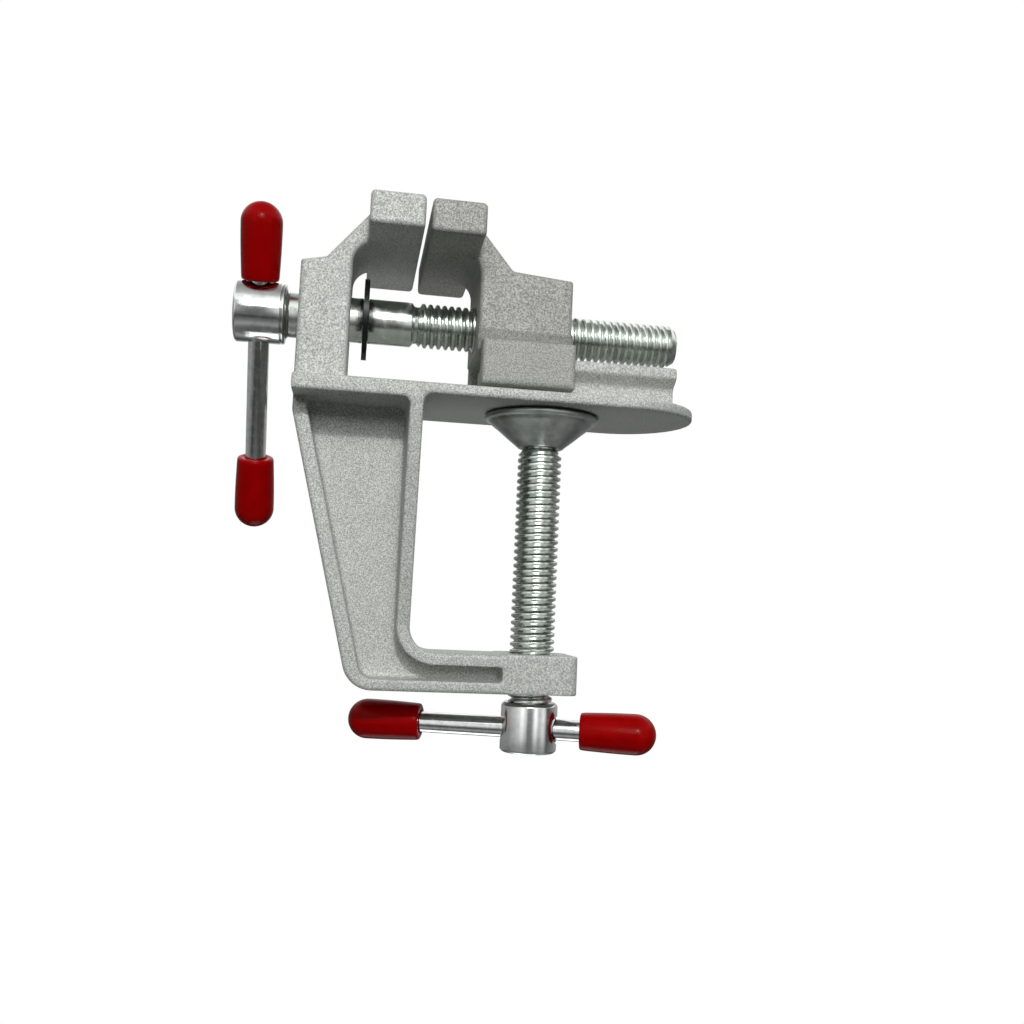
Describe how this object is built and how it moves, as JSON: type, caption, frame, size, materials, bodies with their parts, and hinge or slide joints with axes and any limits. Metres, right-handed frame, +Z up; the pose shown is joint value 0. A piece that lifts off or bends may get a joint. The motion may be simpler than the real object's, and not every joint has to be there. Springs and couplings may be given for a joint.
{
  "type": "clamp-on bench vise",
  "caption": "Small cast vise that clamps to a table edge, with a screw-driven sliding jaw, a guide rail, a swivel clamping pad and capped tommy bars.",
  "frame": {"origin": "underside of the base plate, on the axis of the table clamp's screw", "axes": "+X along the vise screw from the fixed jaw to the moving jaw, +Y across the jaws, +Z up from the table"},
  "size_m": [0.0817, 0.0356, 0.0911],
  "materials": {
    "casting": "shot-blasted die casting",
    "screw_steel": "zinc plated",
    "hub_steel": "polished and plated",
    "bar_steel": "plated rod",
    "clip_steel": "black oxide spring steel",
    "cap_vinyl": "glossy dipped vinyl",
    "pad_steel": "pressed, zinc plated"
  },
  "bodies": {
    "frame": {"frame_casting": "casting"},
    "jaw": {"moving_jaw": "casting"},
    "vise_screw": {"vise_screw": "screw_steel", "vise_screw_hub": "hub_steel", "retaining_clip": "clip_steel"},
    "vise_bar": {"vise_bar": "bar_steel", "vise_bar_cap_top": "cap_vinyl", "vise_bar_cap_bottom": "cap_vinyl"},
    "pad": {"swivel_pad": "pad_steel"},
    "clamp_screw": {"clamp_screw": "screw_steel", "clamp_screw_hub": "hub_steel"},
    "clamp_bar": {"clamp_bar": "bar_steel", "clamp_bar_cap_right": "cap_vinyl", "clamp_bar_cap_left": "cap_vinyl"}
  },
  "joints": [
    {"name": "vise_screw_turn", "type": "hinge", "parent": "frame", "child": "vise_screw", "pos_m": [-0.04, 0, 0.0146], "axis": [-1, 0, 0], "range_deg": [-260.2, 8353]},
    {"name": "jaw_slide", "type": "slide", "parent": "frame", "child": "jaw", "axis": [1, 0, 0], "range_m": [-0.0009, 0.029]},
    {"name": "vise_bar_slide", "type": "slide", "parent": "vise_screw", "child": "vise_bar", "axis": [0, -0.3907, 0.9205], "range_m": [0, 0.0206]},
    {"name": "clamp_travel", "type": "slide", "parent": "frame", "child": "pad", "axis": [0, 0, 1], "range_m": [-0.0355, 0]},
    {"name": "clamp_screw_turn", "type": "hinge", "parent": "pad", "child": "clamp_screw", "pos_m": [0, 0, -0.0552], "axis": [0, 0, 1], "range_deg": [-10225, 1]},
    {"name": "clamp_bar_slide", "type": "slide", "parent": "clamp_screw", "child": "clamp_bar", "axis": [0.9563, -0.2924, 0], "range_m": [-0.0038, 0.0142]}
  ],
  "couplings": [
    {"joint": "vise_screw_turn", "follows": "jaw_slide", "rad_per_m": 5026.5},
    {"joint": "clamp_screw_turn", "follows": "clamp_travel", "rad_per_m": 5026.5}
  ]
}
